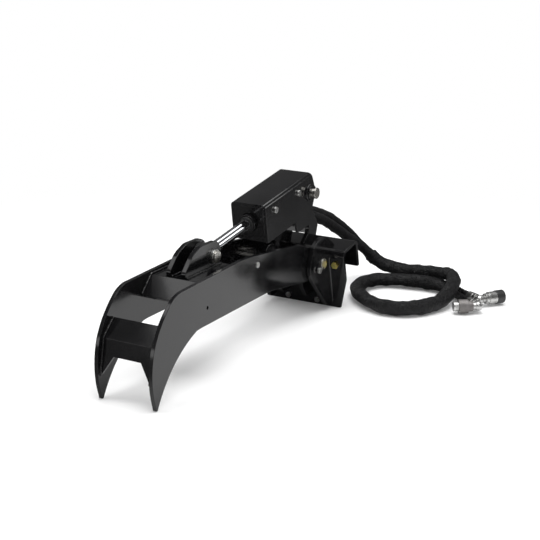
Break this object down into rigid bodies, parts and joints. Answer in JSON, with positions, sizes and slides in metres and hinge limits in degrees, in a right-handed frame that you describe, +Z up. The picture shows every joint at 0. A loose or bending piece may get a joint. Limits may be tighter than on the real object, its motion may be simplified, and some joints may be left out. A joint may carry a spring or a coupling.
{
  "type": "stump grapple bucket",
  "caption": "Grapple arm kit for a stump bucket: leaning saddle mount, forked arm with joined tines, guarded hydraulic cylinder and sleeved hoses.",
  "frame": {"origin": "middle of the saddle's front leg at its bottom edge, on the floor", "axes": "+X to the right of a viewer who faces the tines, -Y along the arm to the tines, +Z up"},
  "size_m": [0.6489, 1.2078, 0.3887],
  "materials": {
    "black_paint": "gloss black paint",
    "zinc_yellow": "yellow chromate zinc",
    "zinc_clear": "clear zinc",
    "pin_steel": "ground steel",
    "bush_bronze": "bearing bronze",
    "hard_chrome": "hard chrome",
    "cast_black": "gloss black paint",
    "cast_piston": "machined iron",
    "seal_rubber": "wiper rubber",
    "hose_rubber": "textile-covered rubber hose",
    "sleeve_textile": "woven nylon",
    "coupler_grey": "grey zinc-nickel",
    "ring_black": "black sleeve ring"
  },
  "bodies": {
    "saddle": {"mount_saddle": "black_paint", "outer_ear_left": "black_paint", "outer_ear_right": "black_paint", "tower_plate_left": "black_paint", "tower_plate_right": "black_paint", "clamp_bolts": "zinc_yellow", "clamp_nuts": "zinc_clear", "foot_bolts": "zinc_clear", "pivot_pin": "pin_steel", "pivot_pin_flags": "black_paint", "flag_bolts": "zinc_clear", "base_pin": "pin_steel", "base_pin_collars": "zinc_clear", "hose_manifold": "black_paint", "jumper_left": "hose_rubber", "jumper_right": "hose_rubber", "hose_left": "hose_rubber", "link_right": "hose_rubber", "union_right": "zinc_clear", "hose_right": "hose_rubber", "hose_sleeve": "sleeve_textile", "sleeve_cuffs": "hose_rubber", "tail_near": "hose_rubber", "tail_far": "hose_rubber", "tail_ferrules": "zinc_clear", "tail_elbows": "zinc_clear", "coupler_near": "coupler_grey", "coupler_tip_near": "zinc_clear", "coupler_far": "zinc_clear", "coupler_tip_far": "ring_black"},
    "arm": {"arm_plate_left": "black_paint", "arm_plate_right": "black_paint", "front_web": "black_paint", "cross_plate": "black_paint", "rod_ear_left": "black_paint", "rod_ear_right": "black_paint", "hub_tube_left": "black_paint", "hub_tube_right": "black_paint", "pivot_bushes": "bush_bronze", "rod_pin": "pin_steel", "rod_pin_collars": "zinc_clear", "arm_side_bolts": "zinc_clear"},
    "barrel": {"cylinder_barrel": "black_paint", "base_cap_eye": "black_paint", "base_eye_bush": "bush_bronze", "cylinder_gland": "black_paint", "rod_wiper": "seal_rubber", "port_elbows": "zinc_clear", "port_ferrules": "zinc_clear", "transfer_pipe": "zinc_clear", "guard_cover": "black_paint", "guard_front_plate": "black_paint", "guard_pin_bosses": "black_paint", "guard_mount_pads": "black_paint", "guard_bolts": "zinc_clear"},
    "rod": {"piston_rod": "hard_chrome", "rod_eye": "cast_black", "piston": "cast_piston", "piston_nut": "cast_piston"}
  },
  "joints": [
    {"name": "arm_pivot", "type": "hinge", "parent": "saddle", "child": "arm", "pos_m": [0, -0.073, 0.143], "axis": [-1, 0, 0], "range_deg": [0, 35]},
    {"name": "barrel_swing", "type": "hinge", "parent": "saddle", "child": "barrel", "pos_m": [0, -0.069, 0.336], "axis": [-1, 0, 0], "range_deg": [0, 37.5], "deforming": ["jumper_left", "jumper_right"]},
    {"name": "rod_slide", "type": "slide", "parent": "barrel", "child": "rod", "axis": [0, -0.9895, -0.1448], "range_m": [-0.118, 0]}
  ],
  "couplings": [
    {"joint": "barrel_swing", "follows": "arm_pivot", "ratio": 1.046},
    {"joint": "rod_slide", "follows": "arm_pivot", "m_per_rad": -0.1898}
  ]
}
